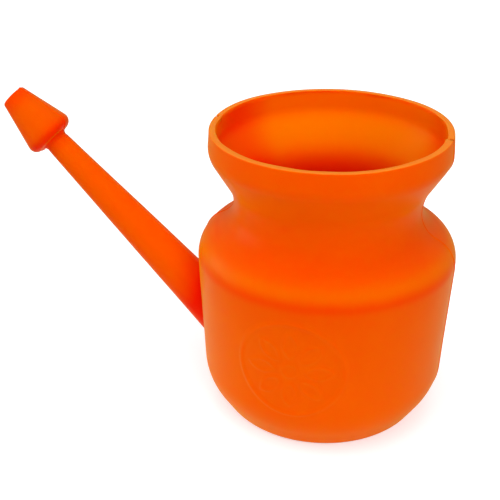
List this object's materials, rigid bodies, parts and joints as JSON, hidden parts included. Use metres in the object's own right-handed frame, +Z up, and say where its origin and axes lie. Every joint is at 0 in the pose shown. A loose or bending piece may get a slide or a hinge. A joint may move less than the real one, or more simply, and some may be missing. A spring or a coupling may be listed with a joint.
{
  "type": "neti pot",
  "caption": "Blow-moulded plastic pot with an open necked mouth and a long slanting spout that ends in a nostril cone, for rinsing the nose with salt water.",
  "frame": {"origin": "on the body's axis, in the plane of the ring that the pot stands on", "axes": "+Z up along the body's axis; the spout points to -X and up; the ornament faces -Y; the mould's parting plane is y = 0"},
  "size_m": [0.1785, 0.0963, 0.1162],
  "materials": {
    "pot_plastic": "satin orange polyethylene, slightly translucent, as it leaves the mould"
  },
  "bodies": {
    "root": {"pot": "pot_plastic"}
  },
  "joints": []
}
